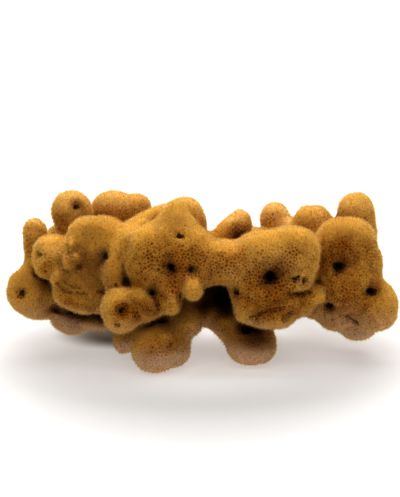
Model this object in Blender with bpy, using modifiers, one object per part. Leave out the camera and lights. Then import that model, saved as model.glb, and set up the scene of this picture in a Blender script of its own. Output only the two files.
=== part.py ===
"""A natural sea sponge, 300 mm long: one mass of rounded lobes that grew together.

Metres, +Z up. X runs along the sponge, and its fullest face looks to -Y. It stands on
the flats of its lowest lobes, with the origin under the middle of its bounding box.
"""

import math

import bmesh
import bpy
from mathutils import Matrix, Vector
from mathutils.bvhtree import BVHTree

MM = 0.001

# Driving sizes of the skin, in millimetres
GROWTH_VOXEL = 1.8
CREASE_SMOOTHING = 7
LUMP_SPACING = 15.0
LUMP_HEIGHT = 3.2
SOLID_TRIANGLES = 7700

# The openings are tapered pits, each at the bottom of a shallow dip.
OSCULUM_SEGMENTS = 9
OSCULUM_FLARE = 1.12
OSCULUM_TAPER = 0.55
DIP_DEPTH_PER_RADIUS = 0.6
CUTTER_OVERSHOOT = 4.0
FLOOR_CUT_SIDE = 400.0

# A round lobe bulges like an egg. A blunt one has a flatter face and a rounder edge.
ROUND = 2.0
BLUNT = 2.7

# Each lobe is (centre, half sizes, shape), in millimetres.
# The thick bar that the lobes grew from, hidden behind them
CORE = [
    ((-88, 20, 68), (32, 26, 25), ROUND),
    ((-42, 14, 68), (32, 27, 27), ROUND),
    ((6, 18, 64), (32, 25, 26), ROUND),
    ((55, 12, 68), (33, 28, 28), ROUND),
    ((102, 18, 66), (28, 26, 27), ROUND),
    ((-4, -2, 43), (26, 23, 17), BLUNT),
    ((26, 4, 46), (18, 17, 15), ROUND),
    ((-28, -14, 46), (22, 20, 15), ROUND),
    ((-18, -18, 78), (32, 20, 22), BLUNT),
    ((26, -18, 80), (26, 20, 15), BLUNT),
    ((64, -16, 76), (26, 20, 24), BLUNT),
    ((-58, 36, 70), (42, 24, 26), BLUNT),
    ((20, 36, 64), (44, 24, 24), BLUNT),
    ((84, 34, 68), (36, 24, 26), BLUNT),
]

# Left end: the round bulb under the finger, and the low lobe behind it
LEFT_END = [
    ((-131, -3, 52), (18, 18, 19), ROUND),
    ((-124, 4, 64), (15, 15, 16), ROUND),
    ((-125, 6, 36), (15, 14, 9), ROUND),
    ((-114, 12, 60), (17, 18, 18), ROUND),
    ((-106, 2, 46), (15, 16, 14), ROUND),
    ((-101, 14, 28), (18, 16, 15), ROUND),
    ((-80, 10, 30), (17, 16, 13), ROUND),
]

# Left block: a shoulder, a flat top and a ragged lower edge
LEFT_BLOCK = [
    ((-111, -17, 82), (15, 15, 17), BLUNT),
    ((-77, -19, 96), (22, 18, 18), BLUNT),
    ((-86, -18, 74), (28, 18, 24), BLUNT),
    ((-84, -22, 55), (23, 16, 14), BLUNT),
    ((-101, -25, 57), (11, 13, 10), ROUND),
    ((-86, -30, 49), (8, 9, 8), ROUND),
    ((-72, -27, 52), (12, 12, 12), ROUND),
    ((-97, -37, 96), (5, 5, 5), ROUND),
    ((-91, -39, 89), (5, 5, 5), ROUND),
    ((-97, -39, 82), (5, 5, 5), ROUND),
    ((-89, -39, 78), (4, 4, 4), ROUND),
    ((-103, -35, 70), (8, 6, 7), ROUND),
]

# Centre block: the broad pored face with spurs below it
CENTRE_BLOCK = [
    ((-20, -41, 85), (34, 19, 26), BLUNT),
    ((-31, -40, 87), (23, 19, 24), BLUNT),
    ((2, -41, 84), (20, 18, 18), BLUNT),
    ((-20, -50, 61), (8, 11, 16), ROUND),
    ((-5, -62, 68), (8.5, 9, 9), ROUND),
]

# Right centre block, with a lip under its cheek
RIGHT_CENTRE_BLOCK = [
    ((55, -41, 82), (32, 20, 26), BLUNT),
    ((67, -41, 88), (21, 19, 22), BLUNT),
    ((47, -42, 66), (25, 19, 22), BLUNT),
    ((36, -49, 50), (12, 13, 9), ROUND),
    ((53, -44, 45), (19, 17, 10), BLUNT),
    ((80, -31, 57), (14, 18, 6), BLUNT),
    ((70, -37, 50), (16, 16, 10), ROUND),
]

# Right end: a tall rounded lobe over a bulb
RIGHT_END = [
    ((111, -10, 84), (24, 20, 27), BLUNT),
    ((114, -8, 63), (26, 21, 26), BLUNT),
    ((127, -6, 76), (14, 16, 16), ROUND),
    ((135, -13, 43), (18, 19, 20), ROUND),
    ((112, 2, 32), (21, 19, 14), ROUND),
    ((123, 3, 24), (16, 15, 13), ROUND),
    ((98, -4, 46), (15, 17, 16), ROUND),
    ((90, 6, 41), (16, 16, 13), ROUND),
]

# Upper lobes that show over the front blocks
UPPER_BACK = [
    ((-101, 33, 109), (17, 16, 16), ROUND),
    ((-70, 55, 106), (18, 15, 15), ROUND),
    ((-51, 62, 104), (13, 13, 14), ROUND),
    ((-11, 20, 106), (13, 13, 16), BLUNT),
    ((-4, 18, 98), (10, 12, 18), ROUND),
    ((32, 28, 97), (10, 10, 14), ROUND),
    ((61, 60, 98), (12, 12, 14), ROUND),
    ((74, 55, 90), (12, 12, 9), ROUND),
    ((90, 34, 97), (17, 16, 17), ROUND),
    ((123, 26, 106), (16, 15, 19), ROUND),
    ((128, 20, 92), (12, 13, 20), ROUND),
]

# Lowest lobes, which carry the sponge
FEET = [
    ((-57, -56, 51), (15, 16, 18), ROUND),
    ((-41, -50, 54), (17, 16, 14), ROUND),
    ((-58, -18, 16), (9, 10, 10), ROUND),
    ((-33, -42, 18.5), (19, 19, 19.5), ROUND),
    ((-20, -32, 18), (14, 15, 19), ROUND),
    ((-14, -24, 34), (18, 18, 14), ROUND),
    ((39, -26, 18), (20, 19, 19), ROUND),
]

# The rear face and its feet
REAR = [
    ((-104, 44, 74), (24, 20, 22), BLUNT),
    ((-66, 52, 62), (24, 21, 23), BLUNT),
    ((-26, 50, 78), (25, 20, 23), BLUNT),
    ((8, 55, 60), (24, 18, 19), BLUNT),
    ((38, 48, 76), (22, 18, 18), ROUND),
    ((72, 53, 64), (25, 20, 22), BLUNT),
    ((106, 45, 72), (23, 20, 24), BLUNT),
    ((-84, 40, 44), (20, 17, 13), ROUND),
    ((90, 36, 44), (22, 18, 14), ROUND),
    ((-44, 48, 22), (18, 20, 23), ROUND),
    ((-54, 44, 40), (20, 18, 16), ROUND),
    ((42, 48, 21), (17, 19, 22), ROUND),
    ((46, 44, 42), (22, 18, 16), ROUND),
    ((-8, 36, 42), (22, 18, 12), ROUND),
]

# Growths that taper or bend are rows of (x, y, z, radius), in millimetres.
GROWTHS = [
    # left finger
    [(-123, 9, 68, 12.5), (-126.5, 8, 84, 11), (-127.5, 6, 99, 9.5)],
    # neck of the upper left knob
    [(-101, 24, 84, 12), (-101, 31, 102, 14)],
    # curved ridge down the left block
    [(-44, -10, 104, 8), (-54, -26, 100, 8), (-61, -34, 90, 8.5), (-63.5, -37, 78, 8.5), (-62.5, -37, 66, 9),
     (-60, -36, 57, 8)],
    # peak of the centre block, with a slope down to each side
    [(-17, -38, 98, 19), (-17, -30, 111, 13), (-17, -27, 121, 7.5)],
    [(-17, -30, 108, 12), (-34, -34, 98, 14)],
    [(-17, -30, 108, 11), (-2, -34, 94, 13)],
    # long ridge behind the peak
    [(-52, 2, 99, 9), (-40, 8, 104, 10), (-22, 16, 110, 9)],
    # saddle between the two centre blocks
    [(8, -43, 85, 16), (22, -42, 82, 16), (36, -42, 82, 16)],
    # low ridge before the small rear knob
    [(8, 14, 82, 9), (18, 20, 93, 8), (30, 27, 100, 9)],
    # right leg
    [(4, -6, 42, 13), (16, -14, 34, 12), (30, -22, 24, 14)],
    # stalk of the small lobe beside the left foot
    [(-58, -18, 16, 7), (-46, -26, 22, 9), (-34, -30, 30, 12)],
]

# Each cleft is (aim, the point that it is seen from, half length, half height, depth, turn in
# degrees). Lobes meet there without growing together.
FRONT = (0, -880, 272)
RIGHT_END_ON = (900, -100, 200)
LEFT_END_ON = (-900, -100, 200)
REAR_FACE = (0, 900, 200)
ABOVE = (0, 0, 900)
CLEFTS = [
    ((-125, 0, 63), FRONT, 6, 2.2, 8, 25),
    ((-57, 0, 57), FRONT, 3, 8, 9, 0),
    ((-33, 0, 27), FRONT, 9, 1.8, 9, -12),
    ((81, 0, 50.5), FRONT, 8, 1.5, 8, -6),
    ((45, 0, 34), FRONT, 9, 1.1, 4, 12),
    ((57, 0, 42), FRONT, 8, 1.0, 4, -8),
    ((-104, 0, 48), FRONT, 6, 1.3, 5, 15),
    ((-64, 0, 54), FRONT, 5, 1.4, 6, 30),
]

# Each osculum is (aim, the point that it is seen from, radius, depth, radius of the dip).
OSCULA = [
    ((-137, 0, 50), FRONT, 2.3, 9, 6),
    ((-94, 0, 70), FRONT, 2.4, 7, 7),
    ((-73, 0, 79), FRONT, 3.4, 11, 10),
    ((-15, 0, 96), FRONT, 1.6, 5, 3),
    ((-22, 0, 70), FRONT, 3.4, 12, 10),
    ((-6, 0, 70), FRONT, 2.4, 9, 6),
    ((-36, 0, 52), FRONT, 2.8, 10, 7),
    ((-60, 0, 37), FRONT, 2.4, 9, 7),
    ((-64, 0, 25), FRONT, 1.6, 5, 4),
    ((54, 0, 63), FRONT, 4.6, 16, 16),
    ((73, 0, 62), FRONT, 1.8, 7, 4),
    ((83, 0, 60), FRONT, 1.8, 6, 5),
    ((26, 0, 51), FRONT, 2.8, 9, 6),
    ((106, 0, 71), FRONT, 4.0, 13, 10),
    ((133, 0, 51), FRONT, 3.6, 12, 7),
    ((101, 0, 38), FRONT, 3.4, 11, 6),
    ((120, 0, 25), FRONT, 1.7, 6, 4),
    ((-94, 0, 118), FRONT, 2.4, 8, 8),
    ((18, 0, 47), FRONT, 8.5, 20, 9),
    ((36, 0, 21), FRONT, 4.0, 12, 7),
    ((-80, -14, 0), ABOVE, 2.6, 10, 8),
    ((-62, 30, 0), ABOVE, 3.0, 12, 8),
    ((62, -10, 0), ABOVE, 2.8, 12, 8),
    ((90, 36, 0), ABOVE, 2.6, 10, 8),
    ((112, -10, 0), ABOVE, 2.2, 8, 6),
    ((0, -16, 68), LEFT_END_ON, 3.0, 10, 8),
    ((0, 30, 74), LEFT_END_ON, 2.6, 9, 7),
    ((0, 14, 84), RIGHT_END_ON, 3.0, 10, 8),
    ((0, 30, 60), RIGHT_END_ON, 2.4, 9, 7),
    ((-104, 0, 74), REAR_FACE, 3.0, 11, 8),
    ((-66, 0, 62), REAR_FACE, 3.8, 13, 10),
    ((-26, 0, 82), REAR_FACE, 4.2, 14, 12),
    ((8, 0, 62), REAR_FACE, 3.0, 10, 8),
    ((38, 0, 78), REAR_FACE, 2.6, 9, 7),
    ((72, 0, 66), REAR_FACE, 4.2, 14, 12),
    ((104, 0, 72), REAR_FACE, 3.0, 10, 8),
]


def clear_scene():
    for obj in list(bpy.data.objects):
        bpy.data.objects.remove(obj)


def make_collection(name):
    collection = bpy.data.collections.new(name)
    bpy.context.scene.collection.children.link(collection)
    return collection


def object_from(bm, name, collection):
    mesh = bpy.data.meshes.new(name)
    bm.to_mesh(mesh)
    bm.free()
    obj = bpy.data.objects.new(name, mesh)
    collection.objects.link(obj)
    return obj


def add_lobe(bm, centre, half_sizes, shape):
    """A ball whose section is a superellipse: shape 2 is an ellipse, and more is blunter."""
    ball = bmesh.ops.create_icosphere(bm, subdivisions=3, radius=1)["verts"]
    for vert in ball:
        reach = sum(abs(x) ** shape for x in vert.co) ** (1 / shape)
        place = [x / reach * size + c for x, size, c in zip(vert.co, half_sizes, centre)]
        vert.co = Vector(place) * MM


def add_growth(bm, row):
    """A bending, tapering limb, as a close row of balls from one (x, y, z, radius) to the next."""
    for start, end in zip(row, row[1:]):
        start, end = Vector(start), Vector(end)
        step = 0.3 * min(start.w, end.w)
        count = math.ceil((end - start).xyz.length / step)
        for i in range(count + 1):
            ball = start.lerp(end, i / count)
            add_lobe(bm, ball.xyz, (ball.w,) * 3, ROUND)


def grow_mass(collection):
    """All lobes as overlapping balls, fused to one skin with soft creases and low lumps."""
    bm = bmesh.new()
    for group in (CORE, LEFT_END, LEFT_BLOCK, CENTRE_BLOCK, RIGHT_CENTRE_BLOCK,
                  RIGHT_END, UPPER_BACK, FEET, REAR):
        for lobe in group:
            add_lobe(bm, *lobe)
    for row in GROWTHS:
        add_growth(bm, row)
    mass = object_from(bm, "sea_sponge", collection)

    fuse = mass.modifiers.new("fuse lobes", "REMESH")
    fuse.mode = "VOXEL"
    fuse.voxel_size = GROWTH_VOXEL * MM

    crease = mass.modifiers.new("soften creases", "SMOOTH")
    crease.factor = 0.5
    crease.iterations = CREASE_SMOOTHING

    texture = bpy.data.textures.new("lumps", "CLOUDS")
    texture.noise_scale = LUMP_SPACING * MM
    texture.noise_depth = 1
    lumps = mass.modifiers.new("low lumps", "DISPLACE")
    lumps.texture = texture
    lumps.texture_coords = "LOCAL"
    lumps.strength = LUMP_HEIGHT * MM
    lumps.mid_level = 0.5
    return mass


def bake_modifiers(obj):
    bpy.context.view_layer.update()
    graph = bpy.context.evaluated_depsgraph_get()
    mesh = bpy.data.meshes.new_from_object(obj.evaluated_get(graph))
    obj.modifiers.clear()
    obj.data = mesh
    return mesh


def triangle_count(mesh):
    mesh.calc_loop_triangles()
    return len(mesh.loop_triangles)


def skin_tree(mesh):
    bm = bmesh.new()
    bm.from_mesh(mesh)
    tree = BVHTree.FromBMesh(bm)
    bm.free()
    return tree


def mouth_of(skin, aim, viewpoint):
    """Where the skin is first met on the way to the aim, and the way into it there."""
    start = Vector(viewpoint) * MM
    if viewpoint == ABOVE:
        start.xy = Vector(aim[:2]) * MM
    sight = (Vector(aim) * MM - start).normalized()
    place, normal, _, _ = skin.ray_cast(start, sight)
    return place, (sight - normal).normalized()


def press_dips(mesh, mouths):
    for vert in mesh.vertices:
        for place, inward, radius, _, dip_radius in mouths:
            share = (vert.co - place).length / (dip_radius * MM)
            if share < 1:
                depth = DIP_DEPTH_PER_RADIUS * radius * MM
                vert.co += inward * depth * (1 - share * share) ** 2


def hide_helper(obj):
    obj.hide_render = True
    obj.display_type = "WIRE"


def add_pit(bm, place, inward, half_width, half_height, depth, turn=0.0):
    """A tapered plug from just above the skin down to the depth, wide or round in section."""
    middle = place + inward * (depth - CUTTER_OVERSHOOT) / 2 * MM
    facing = inward.to_track_quat("Z", "Y").to_matrix().to_4x4()
    matrix = (Matrix.Translation(middle) @ facing @ Matrix.Rotation(math.radians(turn), 4, "Z")
              @ Matrix.Diagonal((half_width * MM, half_height * MM, 1, 1)))
    bmesh.ops.create_cone(
        bm, cap_ends=True, segments=OSCULUM_SEGMENTS,
        radius1=OSCULUM_FLARE, radius2=OSCULUM_TAPER,
        depth=(depth + CUTTER_OVERSHOOT) * MM, matrix=matrix)


def make_osculum_cutter(collection, mouths):
    bm = bmesh.new()
    for place, inward, radius, depth, _ in mouths:
        add_pit(bm, place, inward, radius, radius, depth)
    cutter = object_from(bm, "oscula", collection)
    hide_helper(cutter)
    return cutter


def make_cleft_cutter(collection, skin):
    bm = bmesh.new()
    for aim, viewpoint, half_length, half_height, depth, turn in CLEFTS:
        add_pit(bm, *mouth_of(skin, aim, viewpoint), half_length, half_height, depth, turn)
    cutter = object_from(bm, "clefts", collection)
    hide_helper(cutter)
    return cutter


def make_floor_cutter(collection):
    bm = bmesh.new()
    side = FLOOR_CUT_SIDE * MM
    bmesh.ops.create_cube(bm, size=side, matrix=Matrix.Translation((0, 0, -side / 2)))
    cutter = object_from(bm, "floor", collection)
    hide_helper(cutter)
    return cutter


def subtract(obj, cutter):
    cut = obj.modifiers.new("cut " + cutter.name, "BOOLEAN")
    cut.operation = "DIFFERENCE"
    cut.solver = "EXACT"
    cut.object = cutter


def centre_on_origin(mesh):
    """Puts the middle of the bounding box over the origin. The height stays."""
    xs = [vert.co.x for vert in mesh.vertices]
    ys = [vert.co.y for vert in mesh.vertices]
    shift = (-(min(xs) + max(xs)) / 2, -(min(ys) + max(ys)) / 2, 0)
    mesh.transform(Matrix.Translation(shift))


def sponge_material():
    material = bpy.data.materials.new("sponge fibre")
    material.use_nodes = True
    shader = material.node_tree.nodes["Principled BSDF"]
    shader.inputs["Base Color"].default_value = (0.42, 0.21, 0.055, 1)
    shader.inputs["Roughness"].default_value = 0.95
    shader.inputs["Metallic"].default_value = 0
    return material


def main():
    clear_scene()
    parts = make_collection("Sea sponge")
    cutters = make_collection("Cutters")

    sponge = grow_mass(parts)
    mesh = bake_modifiers(sponge)
    skin = skin_tree(mesh)
    mouths = [(*mouth_of(skin, aim, viewpoint), radius, depth, dip_radius)
              for aim, viewpoint, radius, depth, dip_radius in OSCULA]
    press_dips(mesh, mouths)

    thin = sponge.modifiers.new("thin out", "DECIMATE")
    thin.ratio = SOLID_TRIANGLES / triangle_count(mesh)
    subtract(sponge, make_osculum_cutter(cutters, mouths))
    subtract(sponge, make_cleft_cutter(cutters, skin))
    subtract(sponge, make_floor_cutter(cutters))
    mesh = bake_modifiers(sponge)

    centre_on_origin(mesh)
    mesh.shade_smooth()
    mesh.materials.clear()
    mesh.materials.append(sponge_material())


main()
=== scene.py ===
# Looks for the sea sponge: a skin of fine pores and a nap of loose fibres over the packed
# solid, on a white floor in soft studio light. Metres, +Z up.

import math

import bmesh
import bpy
import numpy as np
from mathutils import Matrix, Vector, noise
from mathutils.kdtree import KDTree


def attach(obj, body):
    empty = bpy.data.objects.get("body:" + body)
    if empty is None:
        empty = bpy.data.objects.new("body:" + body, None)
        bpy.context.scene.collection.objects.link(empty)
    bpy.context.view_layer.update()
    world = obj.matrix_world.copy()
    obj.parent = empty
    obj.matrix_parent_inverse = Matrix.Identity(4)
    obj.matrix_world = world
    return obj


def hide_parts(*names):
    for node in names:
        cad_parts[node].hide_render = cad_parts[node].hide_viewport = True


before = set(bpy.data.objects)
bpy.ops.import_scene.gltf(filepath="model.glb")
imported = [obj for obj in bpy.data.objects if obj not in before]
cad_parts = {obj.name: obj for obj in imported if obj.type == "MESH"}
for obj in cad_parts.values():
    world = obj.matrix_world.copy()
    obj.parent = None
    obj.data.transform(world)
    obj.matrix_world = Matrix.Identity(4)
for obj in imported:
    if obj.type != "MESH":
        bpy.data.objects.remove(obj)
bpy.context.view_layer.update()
millimetre = 0.001


def linearColour(hexValue):
    # a linear colour, opaque, from an sRGB one
    channels = [int(hexValue[i:i + 2], 16) / 255 for i in (0, 2, 4)]
    return tuple(c / 12.92 if c <= 0.04045 else ((c + 0.055) / 1.055) ** 2.4 for c in channels) + (1.0,)


def addNode(tree, kind, settings=None, inputs=None):
    # settings are the node's own properties; inputs are socket values or links
    node = tree.nodes.new(kind)
    for name, value in (settings or {}).items():
        setattr(node, name, value)
    for socket, value in (inputs or {}).items():
        if isinstance(value, bpy.types.NodeSocket):
            tree.links.new(value, node.inputs[socket])
        else:
            node.inputs[socket].default_value = value
    return node


def geometryTree(name, inputs):
    tree = bpy.data.node_groups.new(name, "GeometryNodeTree")
    tree.interface.new_socket("Mesh", in_out="INPUT", socket_type="NodeSocketGeometry")
    for label, kind in inputs.items():
        tree.interface.new_socket(label, in_out="INPUT", socket_type="NodeSocket" + kind)
    tree.interface.new_socket("Mesh", in_out="OUTPUT", socket_type="NodeSocketGeometry")
    return tree, tree.nodes.new("NodeGroupInput").outputs, tree.nodes.new("NodeGroupOutput").inputs[0]


def meshThrough(obj, tree, values):
    # runs the tree on the object once and gives back a plain mesh
    modifier = obj.modifiers.new(tree.name, "NODES")
    modifier.node_group = tree
    for item in tree.interface.items_tree:
        if item.in_out == "INPUT" and item.name in values:
            modifier[item.identifier] = values[item.name]
    graph = bpy.context.evaluated_depsgraph_get()
    mesh = bpy.data.meshes.new_from_object(obj.evaluated_get(graph))
    obj.modifiers.remove(modifier)
    return mesh


def keepAboveFloor(mesh):
    place = np.empty(len(mesh.vertices) * 3)
    mesh.vertices.foreach_get("co", place)
    place[2::3] = np.maximum(place[2::3], 0)
    mesh.vertices.foreach_set("co", place)
    mesh.update()


def newPiece(name, mesh):
    piece = bpy.data.objects.new(name, mesh)
    bpy.context.scene.collection.objects.link(piece)
    return piece


# the sponge's body, smoothed and laid out in cells, one for each pore
body = {
    "fineSpacing": 1.15 * millimetre,
    "rounding": 4,
    "lumpSize": 7.0 * millimetre,
    "lumpHeight": 0.7 * millimetre,
    "unevenness": 0.3 * millimetre,  # strays the fine points, so that no two cells come out alike
    "cells": 32500,
    "relax": 1,
    "hollowReach": 40,  # rounds of smoothing that an opening or crease is measured against
    "seed": 11,
}


pores = {
    "shallowest": 0.7 * millimetre,
    "deepest": 2.6 * millimetre,
    "smallShare": 1.1,  # above 1, more of the pores are small than large
    # millimetres that a rim stands proud: its pores are nearly closed at the first and open
    # from the second
    "rimHollow": (-7.0, -2.0),
    "rimOpenness": 0.28,
    "plainOpenness": 0.7,
    "patchSize": 20.0,
    "patchiness": 0.3,
    "clusterSize": 4.5,  # pores gather in loose groups of a few
    "clustering": 0.38,
    "topClosing": 0.5,  # how far the pores close on upward faces; the rim colour that this brings is a painted top light
    "creaseHollow": (2.5, 6.5),  # millimetres deep where the painted shade in a crease starts and is darkest
    # how dark the painted shade in the deepest creases gets
    "creaseDarkness": 0.65,
    "seed": 5,
}

# Smaller forms pressed into the body or raised from it, in millimetres. Each is a line of
# points on the surface, how far it reaches to either side, its height, where a negative one
# sinks, and how dark it is painted, a painted shade in and around it. The wide ones come
# before the narrow ones that lie in them.
forms = {
    "swells": [
        ([(-53, -40, 107), (-60, -42, 98), (-64, -44, 88), (-65, -46, 78), (-62, -47, 68)], 6.0, 3.5, 0),
        ([(-25, -60, 61), (-21.5, -60, 52)], 7.5, 4.0, 0),
        ([(66, -57, 56), (80, -50, 57), (88, -46, 57)], 4.5, 3.0, 0),
        ([(-106, -37, 54)], 4.0, 2.5, 0),
        ([(-96, -36.5, 47.5)], 3.5, 2.5, 0),
        ([(-86, -38, 46.5)], 3.0, 2.0, 0),
        ([(-77, -38, 48)], 3.5, 2.5, 0),
        ([(29, -57, 46), (33, -58, 42)], 5.0, 3.0, 0),
        ([(46, -60, 41), (56, -60, 43)], 4.5, 2.5, 0),
        ([(-81, -36, 112), (-70, -36, 104)], 6.0, 2.0, 0),
        ([(-56, -36, 68)], 5.0, 4.5, 0),
    ],
    "hollows": [
        ([(50, -60, 76), (55, -60, 81)], 9.5, -3.0, 0.5),
        ([(99, -27, 80), (107, -27, 80)], 8.0, -2.0, 0.35),
        ([(-21.5, -60, 82), (-25, -60, 86)], 7.0, -2.5, 0.45),
        ([(-7, -60, 82)], 4.5, -2.0, 0.4),
        ([(-36, -57, 64)], 6.0, -2.5, 0.4),
        ([(-57, -71, 53), (-54, -71, 55)], 5.5, -2.0, 0.3),
        ([(-46, -66, 58), (-38, -62, 54)], 7.0, -2.0, 0.3),
        ([(-72, -37, 86), (-78, -37, 80)], 5.0, -3.0, 0.45),
        ([(-90, -36, 92), (-82, -37, 76)], 8.0, -1.5, 0.25),
        ([(-97, 22, 113)], 7.5, -2.0, 0.4),
        ([(130, -28, 58)], 6.5, -2.5, 0.4),
        ([(97, -20, 43)], 5.5, -2.5, 0.5),
        ([(29, 15, 91), (32, 17, 90)], 5.5, -5.0, 0.75),
        ([(-99, -40, 100), (-98, -41, 90)], 2.6, -1.8, 0.35),
        ([(-91, -36, 79)], 4.0, -2.0, 0.45),
        ([(24, -56, 62)], 4.0, -2.0, 0.5),
        ([(-45, -70, 49)], 5.0, -1.5, 0.3),
        ([(-107, -41, 82)], 5.0, -1.5, 0.2),
    ],
    "creases": [
        ([(64, -60, 62.5), (74, -55, 61.5), (82, -48, 61.5)], 1.5, -4.0, 0.65),
        ([(26, -56, 48), (38, -60, 47), (46, -61, 50), (57, -60, 53)], 1.6, -3.5, 0.45),
        ([(59, -61, 45), (66, -57, 49)], 1.6, -3.0, 0.45),
        ([(-107, -41, 67), (-103, -38, 61), (-97, -38, 58.5), (-86, -38, 58)], 1.5, -2.0, 0.4),
        ([(-103, -40, 70), (-98, -38, 64), (-90, -38, 62)], 1.3, -1.5, 0.3),
        ([(-77, -40, 60), (-69, -45, 56)], 2.2, -4.0, 0.8),
        ([(-65, -48, 63), (-62, -50, 66)], 1.8, -3.0, 0.6),
        ([(-34, -58, 62), (-32, -60, 52)], 2.0, -3.5, 0.6),
        ([(-15, -58, 64), (-14, -57, 56)], 2.0, -3.5, 0.5),
        ([(-39, -45, 37), (-33, -37, 36), (-27, -38, 39)], 2.2, -4.0, 1.0),
        ([(111, -18, 37), (118, -18, 29)], 1.6, -2.0, 0.5),
        ([(-56, -45, 84), (-55, -44, 72)], 1.4, -1.5, 0.4),
        ([(-89, -42, 99), (-88, -42, 88)], 1.6, -1.5, 0.35),
    ],
    "openings": [
        ([(48.5, -60, 73), (52, -60, 75)], 3.9, -5.0, 0.95),
        ([(101.5, -27, 74), (105, -27, 77)], 3.3, -5.0, 0.84),
        ([(-21.5, -58, 81), (-22.5, -58, 83)], 2.8, -4.0, 0.88),
        ([(-7, -60, 81)], 2.2, -4.0, 0.9),
        ([(-15.5, -57, 107)], 2.5, -3.5, 1.0),
        ([(-35.5, -55, 64)], 2.7, -4.0, 0.9),
        ([(-57, -70, 53)], 2.5, -4.0, 0.85),
        ([(-61.5, -71.5, 44)], 1.7, -2.5, 0.8),
        ([(-137, -18, 54)], 2.5, -5.0, 0.85),
        ([(-71, -35, 87)], 2.4, -5.0, 0.9),
        ([(-97, 23, 113.5)], 2.8, -3.0, 0.65),
        ([(129.4, -26, 57.2)], 3.5, -4.0, 0.78),
        ([(97.5, -18, 43)], 3.3, -5.0, 0.88),
        ([(118, -18, 29)], 1.8, -3.0, 0.8),
        ([(-91, -33, 78)], 1.9, -3.0, 0.8),
        ([(68, -61, 75)], 2.3, -3.0, 0.95),
        ([(75, -57, 73.5)], 2.5, -2.5, 0.75),
        ([(24, -53, 62)], 3.0, -5.0, 1.0),
        ([(24.5, -54, 66)], 1.9, -3.0, 0.9),
        ([(33, -35, 31)], 4.5, -6.0, 1.0),
    ],
    # small round knobs with steep sides
    "knobs": [
        ([(-94.5, -42, 97)], 4.0, 3.4, 0),
        ([(-92.5, -44, 87)], 3.8, 3.4, 0),
        ([(-87, -40, 93)], 2.6, 1.8, 0),
    ],
    # torn, uneven surface: how far it reaches, the height of the bumps and their size
    "rugged": [
        ([(-100, -40, 92), (-84, -38, 74), (-72, -40, 66)], 20.0, 3.4, 7.0),
        ([(-96, -40, 88), (-84, -38, 74), (-72, -40, 66)], 16.0, 1.7, 3.4),
        ([(-104, -36, 50), (-74, -38, 47)], 9.0, 2.0, 3.2),
        ([(26, -56, 46), (60, -58, 42)], 9.0, 1.3, 3.5),
        ([(-30, -46, 36), (-20, -44, 38)], 8.0, 1.3, 3.5),
    ],
    # where the light never reaches: how far, and how dark; nothing is moved
    "shade": [
        ([(14, -20, 52), (20, 0, 48)], 14.0, 1.0),
        ([(2, -26, 46), (10, -24, 48), (18, -25, 43)], 8.0, 0.85),
        ([(-14, -40, 50), (-8, -40, 50)], 6.0, 0.8),
        ([(-57, -20, 64)], 3.0, 0.3),
        ([(-112, -10, 38), (-96, -2, 35), (-79, -4, 33), (-68, -14, 30)], 7.0, 0.95),
        ([(-126, -12, 70), (-118, -12, 63)], 3.6, 0.95),
        ([(33, -34, 31), (40, -40, 32)], 6.0, 0.9),
        ([(78, -30, 45), (88, -25, 46)], 5.0, 0.8),
    ],
    # painted light: lobes made paler; painted shade where negative: browner
    "paintedLightAndShades": [
        ([(-103, 22, 118)], 14.0, 0.5),
        ([(-77, 46, 118), (-62, 46, 116)], 18.0, 0.5),
        ([(-125, 4, 100)], 10.0, 0.6),
        ([(-12, 16, 112)], 14.0, 0.5),
        ([(30, 20, 106)], 12.0, 1.0),
        ([(58, 50, 102), (68, 50, 100)], 14.0, 1.0),
        ([(90, 22, 108)], 14.0, 0.4),
        ([(119, 12, 116)], 14.0, 0.5),
        ([(-112, -38, 96)], 11.0, 0.8),
        ([(-90, -38, 76), (-74, -38, 60)], 18.0, -0.35),
        ([(-136, -15, 64)], 10.0, -0.3),
        ([(46, -58, 50), (62, -58, 56)], 14.0, -0.15),
        ([(22, -55, 78)], 9.0, 0.3),
        ([(-35, -60, 84)], 14.0, 0.1),
        ([(40, -60, 88), (66, -60, 88), (72, -60, 72)], 12.0, 0.3),
        ([(-78, -30, 112)], 10.0, -0.3),
        ([(108, -24, 101), (118, -20, 97)], 14.0, -0.25),
        ([(-20, -48, 112)], 11.0, -0.3),
        ([(4, -58, 84)], 14.0, 0.2),
        ([(40, -44, 23)], 17.0, -0.9),
        ([(-12, -55, 66)], 10.0, 0.25),
    ],
    # where the pores stand widest open
    "poreFields": [
        ([(-32, -58, 95), (-22, -60, 82), (-12, -60, 76)], 22.0, 0.25),
        ([(10, -55, 88)], 16.0, 0.1),
        ([(46, -60, 76)], 20.0, 0.2),
        ([(50, -60, 52)], 14.0, 0.15),
        ([(104, -28, 72)], 16.0, 0.1),
        ([(112, -25, 50), (125, -28, 45)], 14.0, 0.2),
        ([(-54, -68, 52)], 13.0, 0.15),
        ([(-29, -60, 28)], 13.0, 1.3),
        ([(-108, -38, 94), (-88, -38, 90), (-82, -38, 64)], 20.0, -0.4),
        ([(-92, -30, 106), (-76, -30, 108)], 14.0, -0.3),
        ([(-62, -44, 92), (-63, -46, 76)], 9.0, -0.4),
    ],
    "steepness": {"swells": 2, "knobs": 4, "hollows": 2, "creases": 3, "openings": 4},
    "pathStep": 1.2,
    "ragged": 0.5,  # how far the edge of an opening, crease or knob strays
    "raggedSize": 3.0,
    "deepest": 20.0,  # how far below its line a form still counts, and above it past its reach
    "above": 2.0,
}


def formPath(line):
    corners = np.array(line, dtype=float)
    path = [corners[0]]
    for start, end in zip(corners, corners[1:]):
        steps = max(1, round(np.linalg.norm(end - start) / forms["pathStep"]))
        path += [start + (end - start) * (i + 1) / steps for i in range(steps)]
    return np.array(path)


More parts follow.
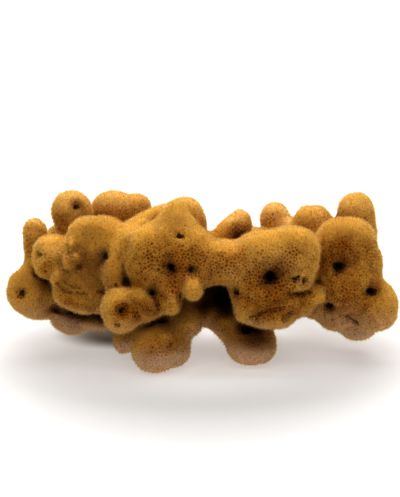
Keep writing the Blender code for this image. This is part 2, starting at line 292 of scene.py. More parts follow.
def formShare(line, reach, place, power=2, facing=None):
    # The points that the form reaches, and how much of it each gets. A high power gives it
    # steep sides. With the facings given it is measured across the form's axis, so that the
    # walls of a pit count in full.
    path = formPath(line)
    margin = 3 * reach if facing is None else forms["deepest"]
    near = np.flatnonzero(np.all((place > path.min(0) - margin) & (place < path.max(0) + margin), axis=1))
    apart = place[near, None] - path[None]
    nearest = np.argmin(np.linalg.norm(apart, axis=2), axis=1)
    gap = apart[np.arange(len(near)), nearest]
    if facing is None:
        return near, np.exp(-(np.linalg.norm(gap, axis=1) / reach) ** power), None
    weight = np.exp(-(np.linalg.norm(gap, axis=1) / (2 * reach)) ** 2)
    toward = (facing[near] * weight[:, None]).sum(0)
    toward /= np.linalg.norm(toward)
    along = gap @ toward
    across = np.linalg.norm(gap - along[:, None] * toward, axis=1)
    if power > 2:
        strays = np.array([noise.noise(Vector(p) / forms["raggedSize"]) for p in place[near]])
        across *= 1 + forms["ragged"] * strays
    share = np.exp(-(across / reach) ** power)
    share *= (along < reach + forms["above"]) & (along > -forms["deepest"])
    return near, share, toward


def pushForms(mesh):
    # moves the points, and gives back where they came to lie and how dark a painted shade each takes
    count = len(mesh.vertices) * 3
    place, facing = np.empty(count), np.empty(count)
    mesh.vertices.foreach_get("co", place)
    mesh.vertex_normals.foreach_get("vector", facing)
    place, facing = place.reshape(-1, 3) * 1000, facing.reshape(-1, 3)
    dark = np.zeros(len(place))
    for kind, power in forms["steepness"].items():
        for line, reach, height, darkness in forms[kind]:
            near, share, toward = formShare(line, reach, place, power, facing)
            dark[near] = np.maximum(dark[near], darkness * share)
            if kind != "openings":
                share *= np.clip(facing[near] @ toward * 2 + 1, 0, 1)
            place[near] += toward * (height * share)[:, None]
    for line, reach, height, size in forms["rugged"]:
        near, share, _ = formShare(line, reach, place)
        bumps = np.array([noise.fractal(Vector(p) / size, 1.0, 2.0, 2) for p in place[near]])
        place[near] += facing[near] * (height * share * bumps)[:, None]
    mesh.vertices.foreach_set("co", (place / 1000).ravel())
    mesh.update()
    return place, dark


def smoothShare(values, start, end):
    share = np.clip((values - start) / (end - start), 0, 1)
    return share * share * (3 - 2 * share)


def markCells(mesh, fine, dark):
    # for each cell: how far it lies inside a hollow, given as painted shade; how much painted light its lobe
    # takes, painted shade where negative; and how far its pore stands open
    count = len(mesh.polygons)
    place, hollow, upward = np.empty(count * 3), np.empty(count), np.empty(count)
    mesh.polygons.foreach_get("center", place)
    mesh.attributes["hollow"].data.foreach_get("value", hollow)
    mesh.attributes["upward"].data.foreach_get("value", upward)
    place = place.reshape(-1, 3) * 1000
    finder = KDTree(len(fine))
    for i, point in enumerate(fine):
        finder.insert(point, i)
    finder.balance()
    # painted shade: the darkness of the openings, hollows and creases, of deep creases, and of the places
    # that the light never reaches
    paintedShade = np.array([dark[finder.find(p)[1]] for p in place])
    paintedShade = np.maximum(paintedShade, pores["creaseDarkness"] * smoothShare(hollow, *pores["creaseHollow"]))
    for line, reach, darkness in forms["shade"]:
        near, share, _ = formShare(line, reach, place)
        paintedShade[near] = np.maximum(paintedShade[near], darkness * share)
    # painted light on lobes, painted shade where negative
    paintedLightAndShade = np.zeros(count)
    for line, reach, weight in forms["paintedLightAndShades"]:
        near, share, _ = formShare(line, reach, place)
        paintedLightAndShade[near] += weight * share
    field = np.full(count, pores["plainOpenness"])
    for line, reach, weight in forms["poreFields"]:
        near, share, _ = formShare(line, reach, place)
        field[near] += weight * share
    patches = np.array([noise.noise(Vector(p) / pores["patchSize"]) for p in place])
    clusters = np.array([noise.noise(Vector(p) / pores["clusterSize"]) for p in place])
    rimOpenness = pores["rimOpenness"]
    openness = rimOpenness + (1 - rimOpenness) * smoothShare(hollow, *pores["rimHollow"])
    topShare = 1 - pores["topClosing"] * smoothShare(upward, 0, 0.9)
    openness *= np.clip(field + pores["patchiness"] * patches, 0.2, 2.5) * topShare
    openness *= 1 + pores["clustering"] * clusters
    for name, values in (("paintedShade", paintedShade), ("paintedLightAndShade", paintedLightAndShade), ("openness", np.clip(openness, 0, 1))):
        mesh.attributes.new(name, "FLOAT", "FACE").data.foreach_set("value", values)


def lumpyTree():
    tree, given, result = geometryTree("lumps", {
        "Lump Size": "Float", "Lump Height": "Float", "Unevenness": "Float", "Seed": "Int"})
    normal = addNode(tree, "GeometryNodeInputNormal").outputs[0]
    position = addNode(tree, "GeometryNodeInputPosition").outputs[0]
    perMetre = addNode(tree, "ShaderNodeMath", {"operation": "DIVIDE"}, {0: 1.0, 1: given["Lump Size"]})
    lumps = addNode(tree, "ShaderNodeTexNoise", {"noise_dimensions": "3D"}, {
        "Vector": position, "Scale": perMetre.outputs[0], "Detail": 2.0, "Roughness": 0.55})
    centred = addNode(tree, "ShaderNodeMapRange", None, {
        "Value": lumps.outputs[0], "To Min": -1.0, "To Max": 1.0})
    height = addNode(tree, "ShaderNodeMath", {"operation": "MULTIPLY"}, {
        0: centred.outputs[0], 1: given["Lump Height"]})
    raised = addNode(tree, "ShaderNodeVectorMath", {"operation": "SCALE"}, {
        "Vector": normal, "Scale": height.outputs[0]})
    lumpy = addNode(tree, "GeometryNodeSetPosition", None, {
        "Geometry": given["Mesh"], "Offset": raised.outputs[0]})
    anyWay = addNode(tree, "FunctionNodeRandomValue", {"data_type": "FLOAT_VECTOR"}, {
        "Min": (-1, -1, -1), "Max": (1, 1, 1), "Seed": given["Seed"]})
    step = addNode(tree, "ShaderNodeVectorMath", {"operation": "SCALE"}, {
        "Vector": anyWay.outputs[0], "Scale": given["Unevenness"]})
    scattered = addNode(tree, "GeometryNodeSetPosition", None, {
        "Geometry": lumpy.outputs[0], "Offset": step.outputs[0]})
    triangles = addNode(tree, "GeometryNodeTriangulate", {"quad_method": "SHORTEST_DIAGONAL"}, {
        "Mesh": scattered.outputs[0]})
    tree.links.new(triangles.outputs[0], result)
    return tree


def cellTree():
    tree, given, result = geometryTree("cells", {"Relax": "Int", "Hollow Reach": "Int"})
    position = addNode(tree, "GeometryNodeInputPosition").outputs[0]
    normal = addNode(tree, "GeometryNodeInputNormal").outputs[0]
    eased = addNode(tree, "GeometryNodeBlurAttribute", {"data_type": "FLOAT_VECTOR"}, {
        "Value": position, "Iterations": given["Relax"]})
    relaxed = addNode(tree, "GeometryNodeSetPosition", None, {
        "Geometry": given["Mesh"], "Position": eased.outputs[0]})
    broad = addNode(tree, "GeometryNodeBlurAttribute", {"data_type": "FLOAT_VECTOR"}, {
        "Value": position, "Iterations": given["Hollow Reach"]})
    apart = addNode(tree, "ShaderNodeVectorMath", {"operation": "SUBTRACT"}, {
        0: broad.outputs[0], 1: position})
    depth = addNode(tree, "ShaderNodeVectorMath", {"operation": "DOT_PRODUCT"}, {
        0: apart.outputs[0], 1: normal})
    inMillimetres = addNode(tree, "ShaderNodeMath", {"operation": "MULTIPLY"}, {
        0: depth.outputs["Value"], 1: 1 / millimetre})
    measured = addNode(tree, "GeometryNodeStoreNamedAttribute", {"data_type": "FLOAT", "domain": "POINT"}, {
        "Geometry": relaxed.outputs[0], "Name": "hollow", "Value": inMillimetres.outputs[0]})
    broadNormal = addNode(tree, "GeometryNodeBlurAttribute", {"data_type": "FLOAT_VECTOR"}, {
        "Value": normal, "Iterations": 8})
    upward = addNode(tree, "ShaderNodeSeparateXYZ", None, {0: broadNormal.outputs[0]})
    faced = addNode(tree, "GeometryNodeStoreNamedAttribute", {"data_type": "FLOAT", "domain": "POINT"}, {
        "Geometry": measured.outputs[0], "Name": "upward", "Value": upward.outputs[2]})
    cells = addNode(tree, "GeometryNodeDualMesh", None, {"Mesh": faced.outputs[0]})
    tree.links.new(cells.outputs[0], result)
    return tree


def makeCells():
    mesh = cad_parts["sea_sponge"].data.copy()
    bm = bmesh.new()
    bm.from_mesh(mesh)
    bmesh.ops.remove_doubles(bm, verts=bm.verts, dist=0.01 * millimetre)
    bm.to_mesh(mesh)
    bm.free()
    shape = newPiece("bodyShape", mesh)
    remesh = shape.modifiers.new("fine mesh", "REMESH")
    remesh.mode = "VOXEL"
    remesh.voxel_size = body["fineSpacing"]
    rounding = shape.modifiers.new("round the facets", "SMOOTH")
    rounding.factor = 0.5
    rounding.iterations = body["rounding"]
    graph = bpy.context.evaluated_depsgraph_get()
    shape.data = bpy.data.meshes.new_from_object(shape.evaluated_get(graph))
    shape.modifiers.clear()
    fine, dark = pushForms(shape.data)
    shape.data = meshThrough(shape, lumpyTree(), {
        "Lump Size": body["lumpSize"], "Lump Height": body["lumpHeight"],
        "Unevenness": body["unevenness"], "Seed": body["seed"]})
    thinned = shape.modifiers.new("one point for each pore", "DECIMATE")
    thinned.ratio = 2 * body["cells"] / len(shape.data.polygons)
    cells = meshThrough(shape, cellTree(), {"Relax": body["relax"], "Hollow Reach": body["hollowReach"]})
    bpy.data.objects.remove(shape)
    keepAboveFloor(cells)
    markCells(cells, fine, dark)
    print("cells laid out:", len(cells.polygons))
    return newPiece("spongeSkin", cells)


def unwrapCells(piece):
    # the map is made on the smooth cells, so that a pore's walls stay in one island
    bpy.ops.object.select_all(action="DESELECT")
    piece.select_set(True)
    bpy.context.view_layer.objects.active = piece
    piece.data.uv_layers.new(name="OFBake")
    bpy.ops.object.mode_set(mode="EDIT")
    bpy.ops.mesh.select_all(action="SELECT")
    bpy.ops.uv.smart_project(angle_limit=1.15, island_margin=0.001, scale_to_bounds=True)
    bpy.ops.object.mode_set(mode="OBJECT")


# pores: each cell's middle is drawn in, which leaves a net of ridges
def poreTree():
    tree, given, result = geometryTree("pores", {
        "Shallowest": "Float", "Deepest": "Float", "Small Share": "Float", "Seed": "Int",
        "Material": "Material"})
    normal = addNode(tree, "GeometryNodeInputNormal").outputs[0]
    vectorMark = {"data_type": "FLOAT_VECTOR"}
    faceMark = {"data_type": "FLOAT_VECTOR", "domain": "FACE"}
    faced = addNode(tree, "GeometryNodeStoreNamedAttribute", faceMark, {
        "Geometry": given["Mesh"], "Name": "cellNormal", "Value": normal})
    mapPlace = addNode(tree, "GeometryNodeInputNamedAttribute", vectorMark, {"Name": "OFBake"})
    middle = addNode(tree, "GeometryNodeStoreNamedAttribute", faceMark, {
        "Geometry": faced.outputs[0], "Name": "cellMiddle", "Value": mapPlace.outputs[0]})
    chance = addNode(tree, "FunctionNodeRandomValue", {"data_type": "FLOAT"}, {"Seed": given["Seed"]})
    mostlySmall = addNode(tree, "ShaderNodeMath", {"operation": "POWER"}, {
        0: chance.outputs[1], 1: given["Small Share"]})
    depth = addNode(tree, "ShaderNodeMapRange", None, {
        "Value": mostlySmall.outputs[0], "To Min": given["Shallowest"], "To Max": given["Deepest"]})
    depthMark = addNode(tree, "ShaderNodeMapRange", None, {"Value": mostlySmall.outputs[0], "To Min": 0.25})
    openShare = addNode(tree, "GeometryNodeInputNamedAttribute", {"data_type": "FLOAT"}, {"Name": "openness"})
    openDepth = addNode(tree, "ShaderNodeMath", {"operation": "MULTIPLY"}, {
        0: depth.outputs[0], 1: openShare.outputs[0]})
    openMark = addNode(tree, "ShaderNodeMath", {"operation": "MULTIPLY"}, {
        0: depthMark.outputs[0], 1: openShare.outputs[0]})
    inward = addNode(tree, "ShaderNodeMath", {"operation": "MULTIPLY"}, {0: openDepth.outputs[0], 1: -1.0})
    drawn = addNode(tree, "GeometryNodeExtrudeMesh", {"mode": "FACES"}, {
        "Mesh": middle.outputs[0], "Offset Scale": inward.outputs[0], "Individual": True})
    closed = addNode(tree, "GeometryNodeScaleElements", {"domain": "FACE"}, {
        "Geometry": drawn.outputs[0], "Selection": drawn.outputs["Top"], "Scale": 0.0})
    atBottom = addNode(tree, "ShaderNodeMath", {"operation": "MULTIPLY"}, {
        0: drawn.outputs["Top"], 1: openMark.outputs[0]})
    marked = addNode(tree, "GeometryNodeStoreNamedAttribute", {"data_type": "FLOAT", "domain": "POINT"}, {
        "Geometry": closed.outputs[0], "Name": "pit", "Value": atBottom.outputs[0]})
    cellMiddle = addNode(tree, "GeometryNodeInputNamedAttribute", vectorMark, {"Name": "cellMiddle"})
    remapped = addNode(tree, "GeometryNodeStoreNamedAttribute", {"data_type": "FLOAT2", "domain": "CORNER"}, {
        "Geometry": marked.outputs[0], "Selection": drawn.outputs["Top"], "Name": "OFBake",
        "Value": cellMiddle.outputs[0]})
    merged = addNode(tree, "GeometryNodeMergeByDistance", None, {
        "Geometry": remapped.outputs[0], "Selection": drawn.outputs["Top"], "Distance": 0.000001})
    smooth = addNode(tree, "GeometryNodeSetShadeSmooth", None, {"Geometry": merged.outputs[0]})
    finished = addNode(tree, "GeometryNodeSetMaterial", None, {
        "Geometry": smooth.outputs[0], "Material": given["Material"]})
    tree.links.new(finished.outputs[0], result)
    return tree


# Dried sponge fibre (spongin): matt and golden brown. Light sinks into the pores, so
# they read dark, and the ridges of the net between them catch it.
skinFinish = {
    "ridge": "b87918",
    "ridgePale": "c48f30",
    "rim": "deb660",
    "brown": "995710",
    "paintedLightColour": "f2d08e",
    "darkBrown": "70390a",
    "speck": "84480f",
    # painted shade colours: pit bottoms, brown halos round openings and hollows, the pits in them, and the
    # nearly black insides
    "deep": "6c3807",
    "halo": "6e380a",
    "haloDeep": "341603",
    "paintedShade": "1a0902",
    "tableBounce": "e9cab4",
    "patchSize": 26.0 * millimetre,
    "mottleSize": 5.0 * millimetre,
    "speckSize": 1.5 * millimetre,
    "grainSize": 0.7 * millimetre,
    "fraySize": 1.6 * millimetre,
    "poreEdge": (0.1, 0.6),  # where along a pore's wall the painted shade starts and is full
    "tableBounceTop": 60.0 * millimetre,  # below this height, faces turned down are painted pale greyish pink: painted bounce light from the table
    "roughness": 0.92,
    "sheen": 0.52,
    "sheenTint": "f0ca8a",
    "subsurface": 0.5,  # thin lobes glow against the light
    "subsurfaceReach": 6.0 * millimetre,
}


def spongeFibreMaterial():
    material = bpy.data.materials.new("dried sponge fibre")
    material.use_nodes = True
    tree = material.node_tree
    tree.nodes.clear()
    place = addNode(tree, "ShaderNodeTexCoord").outputs["Object"]
    patches = addNode(tree, "ShaderNodeTexNoise", None, {
        "Vector": place, "Scale": 1 / skinFinish["patchSize"], "Detail": 2.0})
    mottle = addNode(tree, "ShaderNodeTexNoise", None, {
        "Vector": place, "Scale": 1 / skinFinish["mottleSize"], "Detail": 3.0})
    patchShare = addNode(tree, "ShaderNodeMapRange", None, {
        "Value": patches.outputs[0], "From Min": 0.35, "From Max": 0.65})
    ridge = addNode(tree, "ShaderNodeMix", {"data_type": "RGBA"}, {
        0: patchShare.outputs[0], 6: linearColour(skinFinish["ridge"]),
        7: linearColour(skinFinish["ridgePale"])})
    mottleShare = addNode(tree, "ShaderNodeMapRange", None, {
        "Value": mottle.outputs[0], "From Min": 0.4, "From Max": 0.75, "To Max": 0.55})
    face = addNode(tree, "ShaderNodeMix", {"data_type": "RGBA"}, {
        0: mottleShare.outputs[0], 6: ridge.outputs[2], 7: linearColour(skinFinish["brown"])})
    openness = addNode(tree, "ShaderNodeAttribute", {"attribute_name": "openness"})
    # rim colour where the pores close: partly the fibre's own paler, closed rims, partly a painted highlight
    # on proud rims and upward faces
    rimShare = addNode(tree, "ShaderNodeMapRange", None, {
        "Value": openness.outputs["Fac"], "From Min": 0.95, "From Max": 0.4, "To Max": 0.9})
    rimmed = addNode(tree, "ShaderNodeMix", {"data_type": "RGBA"}, {
        0: rimShare.outputs[0], 6: face.outputs[2], 7: linearColour(skinFinish["rim"])})
    # painted light makes lobes paler; painted shade, where the value is negative, makes them browner
    paintedLightAndShade = addNode(tree, "ShaderNodeAttribute", {"attribute_name": "paintedLightAndShade"})
    paler = addNode(tree, "ShaderNodeMix", {"data_type": "RGBA"}, {
        0: paintedLightAndShade.outputs["Fac"], 6: rimmed.outputs[2], 7: linearColour(skinFinish["paintedLightColour"])})
    brownShare = addNode(tree, "ShaderNodeMath", {"operation": "MULTIPLY"}, {0: paintedLightAndShade.outputs["Fac"], 1: -1.0})
    browner = addNode(tree, "ShaderNodeMix", {"data_type": "RGBA"}, {
        0: brownShare.outputs[0], 6: paler.outputs[2], 7: linearColour(skinFinish["darkBrown"])})
    specks = addNode(tree, "ShaderNodeTexNoise", None, {
        "Vector": place, "Scale": 1 / skinFinish["speckSize"], "Detail": 2.0})
    speckShare = addNode(tree, "ShaderNodeMapRange", None, {
        "Value": specks.outputs[0], "From Min": 0.5, "From Max": 0.75, "To Max": 0.6})
    upward = addNode(tree, "ShaderNodeAttribute", {"attribute_name": "upward"})
    belowTop = addNode(tree, "ShaderNodeMapRange", None, {
        "Value": upward.outputs["Fac"], "From Min": 0.9, "From Max": 0.2, "To Min": 0.2})
    speckHere = addNode(tree, "ShaderNodeMath", {"operation": "MULTIPLY"}, {
        0: speckShare.outputs[0], 1: belowTop.outputs[0]})
    speckled = addNode(tree, "ShaderNodeMix", {"data_type": "RGBA"}, {
        0: speckHere.outputs[0], 6: browner.outputs[2], 7: linearColour(skinFinish["speck"])})
    # painted bounce light from the table: low faces turned downward are mixed toward pale greyish pink
    height = addNode(tree, "ShaderNodeSeparateXYZ", None, {0: place})
    footShare = addNode(tree, "ShaderNodeMapRange", {"interpolation_type": "SMOOTHSTEP"}, {
        "Value": height.outputs[2], "From Min": skinFinish["tableBounceTop"], "From Max": 0.0})
    downShare = addNode(tree, "ShaderNodeMapRange", {"interpolation_type": "SMOOTHSTEP"}, {
        "Value": upward.outputs["Fac"], "From Min": 0.35, "From Max": -0.35})
    tableBounceShare = addNode(tree, "ShaderNodeMath", {"operation": "MULTIPLY"}, {
        0: footShare.outputs[0], 1: downShare.outputs[0]})
    tableBounceLit = addNode(tree, "ShaderNodeMix", {"data_type": "RGBA"}, {
        0: tableBounceShare.outputs[0], 6: speckled.outputs[2], 7: linearColour(skinFinish["tableBounce"])})
    # painted shade in openings, hollows, creases and under parts: a brown halo first, then nearly black
    paintedShade = addNode(tree, "ShaderNodeAttribute", {"attribute_name": "paintedShade"})
    haloShare = addNode(tree, "ShaderNodeMapRange", None, {
        "Value": paintedShade.outputs["Fac"], "From Min": 0.03, "From Max": 0.5, "To Max": 0.75})
    haloed = addNode(tree, "ShaderNodeMix", {"data_type": "RGBA"}, {
        0: haloShare.outputs[0], 6: tableBounceLit.outputs[2], 7: linearColour(skinFinish["halo"])})
    # pore bottoms painted darker: painted shade in the pits
    pit = addNode(tree, "ShaderNodeAttribute", {"attribute_name": "pit"})
    fray = addNode(tree, "ShaderNodeTexNoise", None, {
        "Vector": place, "Scale": 1 / skinFinish["fraySize"], "Detail": 1.0})
    frayed = addNode(tree, "ShaderNodeMapRange", None, {
        "Value": fray.outputs[0], "To Min": -0.35, "To Max": 0.35})
    pitEdge = addNode(tree, "ShaderNodeMath", {"operation": "ADD"}, {
        0: pit.outputs["Fac"], 1: frayed.outputs[0]})
    pitShare = addNode(tree, "ShaderNodeMapRange", {"interpolation_type": "SMOOTHSTEP"}, {
        "Value": pitEdge.outputs[0], "From Min": skinFinish["poreEdge"][0],
        "From Max": skinFinish["poreEdge"][1], "To Max": 0.82})
    deep = addNode(tree, "ShaderNodeMix", {"data_type": "RGBA"}, {
        0: haloShare.outputs[0], 6: linearColour(skinFinish["deep"]),
        7: linearColour(skinFinish["haloDeep"])})
    pored = addNode(tree, "ShaderNodeMix", {"data_type": "RGBA"}, {
        0: pitShare.outputs[0], 6: haloed.outputs[2], 7: deep.outputs[2]})
    paintedShadeShare = addNode(tree, "ShaderNodeMapRange", None, {
        "Value": paintedShade.outputs["Fac"], "From Min": 0.4, "From Max": 0.9, "To Max": 0.97})
    colour = addNode(tree, "ShaderNodeMix", {"data_type": "RGBA"}, {
        0: paintedShadeShare.outputs[0], 6: pored.outputs[2], 7: linearColour(skinFinish["paintedShade"])})
    sheenHere = addNode(tree, "ShaderNodeMapRange", None, {
        "Value": paintedShade.outputs["Fac"], "From Max": 0.6, "To Min": skinFinish["sheen"], "To Max": 0.05})
    grain = addNode(tree, "ShaderNodeTexNoise", None, {
        "Vector": place, "Scale": 1 / skinFinish["grainSize"], "Detail": 2.0})
    bump = addNode(tree, "ShaderNodeBump", None, {
        "Height": grain.outputs[0], "Strength": 0.5, "Distance": 0.3 * millimetre})
    shader = addNode(tree, "ShaderNodeBsdfPrincipled", None, {
        "Base Color": colour.outputs[2], "Roughness": skinFinish["roughness"], "Normal": bump.outputs[0],
        "Specular IOR Level": 0.1, "Sheen Weight": sheenHere.outputs[0], "Sheen Roughness": 0.35,
        "Sheen Tint": linearColour(skinFinish["sheenTint"]),
        "Subsurface Weight": skinFinish["subsurface"], "Subsurface Radius": (1.0, 0.5, 0.2),
        "Subsurface Scale": skinFinish["subsurfaceReach"]})
    addNode(tree, "ShaderNodeOutputMaterial", None, {"Surface": shader.outputs[0]})
    return material


# nap: fine loose fibres that stand on the ridges
nap = {
    "shortNap": {"perSquareMetre": 480000.0, "length": 1.5 * millimetre, "width": 0.15 * millimetre,
                 "lean": 0.45, "seed": 3, "colour": "bb812b"},
    "goldenNap": {"perSquareMetre": 480000.0, "length": 1.8 * millimetre, "width": 0.13 * millimetre,
                  "lean": 0.4, "seed": 21, "colour": "d0a047"},
    "paleNap": {"perSquareMetre": 480000.0, "length": 2.2 * millimetre, "width": 0.12 * millimetre,
                "lean": 0.5, "seed": 8, "colour": "e0ba72"},
}


def napTree():
    tree, given, result = geometryTree("nap", {
        "Density": "Float", "Length": "Float", "Width": "Float", "Lean": "Float", "Floor Gap": "Float",
        "Seed": "Int", "Material": "Material"})
    pit = addNode(tree, "GeometryNodeInputNamedAttribute", {"data_type": "FLOAT"}, {"Name": "pit"})
    ridge = addNode(tree, "ShaderNodeMapRange", None, {
        "Value": pit.outputs[0], "From Min": 0.5, "From Max": 0.1})
    # no fibres where the skin is painted in shade
    paintedShade = addNode(tree, "GeometryNodeInputNamedAttribute", {"data_type": "FLOAT"}, {"Name": "paintedShade"})
    clear = addNode(tree, "ShaderNodeMapRange", None, {
        "Value": paintedShade.outputs[0], "From Min": 0.45, "From Max": 0.1})
    openness = addNode(tree, "GeometryNodeInputNamedAttribute", {"data_type": "FLOAT"}, {"Name": "openness"})
    onRims = addNode(tree, "ShaderNodeMapRange", None, {
        "Value": openness.outputs[0], "From Min": 1.0, "From Max": 0.4, "To Min": 0.45})
    kept = addNode(tree, "ShaderNodeMath", {"operation": "MULTIPLY"}, {
        0: clear.outputs[0], 1: onRims.outputs[0]})
    shared = addNode(tree, "ShaderNodeMath", {"operation": "MULTIPLY"}, {
        0: ridge.outputs[0], 1: kept.outputs[0]})
    position = addNode(tree, "GeometryNodeInputPosition").outputs[0]
    spot = addNode(tree, "ShaderNodeSeparateXYZ", None, {0: position})
    offFloor = addNode(tree, "ShaderNodeMath", {"operation": "GREATER_THAN"}, {
        0: spot.outputs[2], 1: given["Floor Gap"]})
    standing = addNode(tree, "ShaderNodeMath", {"operation": "MULTIPLY"}, {
        0: shared.outputs[0], 1: offFloor.outputs[0]})
    density = addNode(tree, "ShaderNodeMath", {"operation": "MULTIPLY"}, {
        0: standing.outputs[0], 1: given["Density"]})
    roots = addNode(tree, "GeometryNodeDistributePointsOnFaces", {"distribute_method": "RANDOM"}, {
        "Mesh": given["Mesh"], "Density": density.outputs[0], "Seed": given["Seed"]})
    outward = addNode(tree, "GeometryNodeInputNamedAttribute", {"data_type": "FLOAT_VECTOR"}, {
        "Name": "cellNormal"})
    anyWay = addNode(tree, "FunctionNodeRandomValue", {"data_type": "FLOAT_VECTOR"}, {
        "Min": (-1, -1, -1), "Max": (1, 1, 1), "Seed": given["Seed"]})
    lean = addNode(tree, "ShaderNodeVectorMath", {"operation": "SCALE"}, {
        "Vector": anyWay.outputs[0], "Scale": given["Lean"]})
    grown = addNode(tree, "ShaderNodeVectorMath", {"operation": "ADD"}, {
        0: outward.outputs[0], 1: lean.outputs[0]})
    turned = addNode(tree, "FunctionNodeAlignRotationToVector", {"axis": "Z"}, {"Vector": grown.outputs[0]})
    size = addNode(tree, "FunctionNodeRandomValue", {"data_type": "FLOAT"}, {
        2: 0.5, 3: 1.25, "Seed": given["Seed"]})
    fibre = addNode(tree, "GeometryNodeMeshCone", {"fill_type": "NONE"}, {
        "Vertices": 3, "Side Segments": 1, "Radius Top": 0.0, "Radius Bottom": given["Width"],
        "Depth": given["Length"]})
    placed = addNode(tree, "GeometryNodeInstanceOnPoints", None, {
        "Points": roots.outputs[0], "Instance": fibre.outputs[0], "Rotation": turned.outputs[0],
        "Scale": size.outputs[1]})
    real = addNode(tree, "GeometryNodeRealizeInstances", None, {"Geometry": placed.outputs[0]})
    finished = addNode(tree, "GeometryNodeSetMaterial", None, {
        "Geometry": real.outputs[0], "Material": given["Material"]})
    tree.links.new(finished.outputs[0], result)
    return tree


def napMaterial(name, colour):
    # single fibres, thinner than a pattern would show on; light tips give the velvety rim
    material = bpy.data.materials.new(name)
    material.use_nodes = True
    shader = material.node_tree.nodes["Principled BSDF"]
    shader.inputs["Base Color"].default_value = linearColour(colour)
    shader.inputs["Roughness"].default_value = 0.8
    shader.inputs["Specular IOR Level"].default_value = 0.2
    shader.inputs["Subsurface Weight"].default_value = 0.6
    shader.inputs["Subsurface Radius"].default_value = (1.0, 0.6, 0.3)
    shader.inputs["Subsurface Scale"].default_value = 2 * millimetre
    return material


skin = makeCells()
unwrapCells(skin)
print("map made")
pored = meshThrough(skin, poreTree(), {
    "Shallowest": pores["shallowest"], "Deepest": pores["deepest"], "Small Share": pores["smallShare"],
    "Seed": pores["seed"], "Material": spongeFibreMaterial()})
keepAboveFloor(pored)
skin.data = pored
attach(skin, "root")
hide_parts("sea_sponge")
print("pores drawn in:", len(pored.polygons), "triangles")

fibreTree = napTree()
for name, kind in nap.items():
    fibres = meshThrough(skin, fibreTree, {
        "Density": kind["perSquareMetre"], "Length": kind["length"], "Width": kind["width"],
        "Lean": kind["lean"], "Floor Gap": kind["length"] * 1.3, "Seed": kind["seed"],
        "Material": napMaterial(name, kind["colour"])})
    keepAboveFloor(fibres)
    piece = newPiece(name, fibres)
    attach(piece, "root")
    print(name, "grown:", len(fibres.polygons), "triangles")

# a white table that runs back to a lit wall, under two large soft lights
studio = {
    "floorSize": 12.0,
    "wallDistance": 2.5,
    "wallHeight": 3.0,
    "floorColour": "bcbbba",
    "floorGlow": (0.12, 0.56),  # near the sponge, and beyond the second reach
    "glowReach": (0.085, 0.26),
    "glowShape": (1.1, 0.8, 1.0),  # reaches further toward the viewer than to the sides
    "underGlow": 0.36,
    "underReach": (0.06, 0.14),
    "underShape": (0.85, 1.1, 1.0),
    "shadePlace": (-0.062, 0.057, 0.0),  # where the body hangs lowest over the table
    "shadeSize": (0.042, 0.031, 1.0),
    "shadeColour": "857b70",
    "shadeEdge": (0.6, 1.6),
    "wallGlow": 1.15,
    "skyStrength": 0.235,
    "gamma": 0.65,  # deepens the shadows as the photograph's processing did
    "cameraAim": (-0.0012, -0.001, 0.085),
    "cameraDistance": 0.9,
    "cameraTilt": 12.0,
    "lens": 84.7,
}

# power in watts; sizes and places in metres
lights = {
    "overhead": {"power": 20.2, "size": (2.0, 1.2), "place": (0.0, 0.25, 1.2), "aim": (0, 0, 0.05)},
    "frontTop": {"power": 8.0, "size": (1.4, 0.6), "place": (0.0, -0.8, 1.1), "aim": (0, 0, 0.08)},
}


def distanceFrom(tree, place, shape):
    # how far a place lies from the middle of the table, with each axis scaled
    scaled = addNode(tree, "ShaderNodeVectorMath", {"operation": "MULTIPLY"}, {0: place, 1: shape})
    length = addNode(tree, "ShaderNodeVectorMath", {"operation": "LENGTH"}, {0: scaled.outputs[0]})
    return length.outputs["Value"]


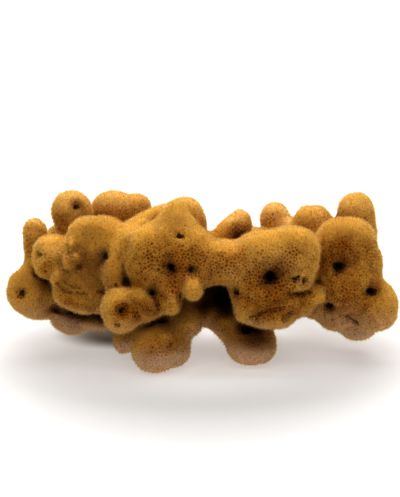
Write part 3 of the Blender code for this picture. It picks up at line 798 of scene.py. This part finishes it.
def addPanel(name, corners, colour, glow):
    mesh = bpy.data.meshes.new(name)
    mesh.from_pydata(corners, [], [(0, 1, 2, 3)])
    material = bpy.data.materials.new(name)
    material.use_nodes = True
    shader = material.node_tree.nodes["Principled BSDF"]
    shader.inputs["Roughness"].default_value = 0.8
    shader.inputs["Specular IOR Level"].default_value = 0.1
    shader.inputs["Emission Color"].default_value = (1, 1, 1, 1)
    tree = material.node_tree
    place = addNode(tree, "ShaderNodeTexCoord").outputs["Object"]
    # painted light on the table: its glow is lower near the sponge, a painted shadow, and raised right under
    # the body, where it lifts the shadow
    apart = distanceFrom(tree, place, studio["glowShape"])
    nearby = distanceFrom(tree, place, studio["underShape"])
    strength = addNode(tree, "ShaderNodeMapRange", {"interpolation_type": "SMOOTHSTEP"}, {
        "Value": apart, "From Min": studio["glowReach"][0], "From Max": studio["glowReach"][1],
        "To Min": glow[0], "To Max": glow[1]})
    under = addNode(tree, "ShaderNodeMapRange", {"interpolation_type": "SMOOTHSTEP"}, {
        "Value": nearby, "From Min": studio["underReach"][0], "From Max": studio["underReach"][1],
        "To Min": studio["underGlow"], "To Max": 0.0})
    both = addNode(tree, "ShaderNodeMath", {"operation": "ADD"}, {
        0: strength.outputs[0], 1: under.outputs[0]})
    # painted shadow: a darker colour and less glow where the body hangs lowest
    patch = addNode(tree, "ShaderNodeMapping", {"vector_type": "TEXTURE"}, {
        "Vector": place, "Location": studio["shadePlace"], "Scale": studio["shadeSize"]})
    inPatch = addNode(tree, "ShaderNodeVectorMath", {"operation": "LENGTH"}, {0: patch.outputs[0]})
    lit = addNode(tree, "ShaderNodeMapRange", {"interpolation_type": "SMOOTHSTEP"}, {
        "Value": inPatch.outputs["Value"], "From Min": studio["shadeEdge"][0],
        "From Max": studio["shadeEdge"][1]})
    glowing = addNode(tree, "ShaderNodeMath", {"operation": "MULTIPLY"}, {
        0: both.outputs[0], 1: lit.outputs[0]})
    tree.links.new(glowing.outputs[0], shader.inputs["Emission Strength"])
    floor = addNode(tree, "ShaderNodeMix", {"data_type": "RGBA"}, {
        0: lit.outputs[0], 6: linearColour(studio["shadeColour"]), 7: linearColour(colour)})
    tree.links.new(floor.outputs[2], shader.inputs["Base Color"])
    mesh.materials.append(material)
    newPiece(name, mesh)


def addLight(name, power, size, place, aim):
    light = bpy.data.lights.new(name, "AREA")
    light.shape = "RECTANGLE"
    light.size, light.size_y = size
    light.energy = power
    lamp = newPiece(name, light)
    lamp.location = place
    lamp.rotation_euler = (Vector(aim) - Vector(place)).to_track_quat("-Z", "Y").to_euler()


def makeStudio():
    half, back, top = studio["floorSize"] / 2, studio["wallDistance"], studio["wallHeight"]
    addPanel("table", [(-half, -half, 0), (half, -half, 0), (half, back, 0), (-half, back, 0)],
             studio["floorColour"], studio["floorGlow"])
    addPanel("wall", [(-half, back, 0), (half, back, 0), (half, back, top), (-half, back, top)],
             studio["floorColour"], (studio["wallGlow"], studio["wallGlow"]))
    world = bpy.data.worlds.new("studio")
    world.use_nodes = True
    world.node_tree.nodes["Background"].inputs[0].default_value = linearColour("ffffff")
    world.node_tree.nodes["Background"].inputs[1].default_value = studio["skyStrength"]
    bpy.context.scene.world = world
    for name, lamp in lights.items():
        addLight(name, **lamp)
    bpy.context.scene.view_settings.view_transform = "Standard"
    bpy.context.scene.view_settings.gamma = studio["gamma"]


def makeCamera():
    camera = newPiece("camera", bpy.data.cameras.new("camera"))
    camera.data.lens = studio["lens"]
    tilt = math.radians(studio["cameraTilt"])
    aim = Vector(studio["cameraAim"])
    camera.location = aim + studio["cameraDistance"] * Vector((0, -math.cos(tilt), math.sin(tilt)))
    camera.rotation_euler = (aim - camera.location).to_track_quat("-Z", "Y").to_euler()
    bpy.context.scene.camera = camera


makeStudio()
makeCamera()
print("studio set")
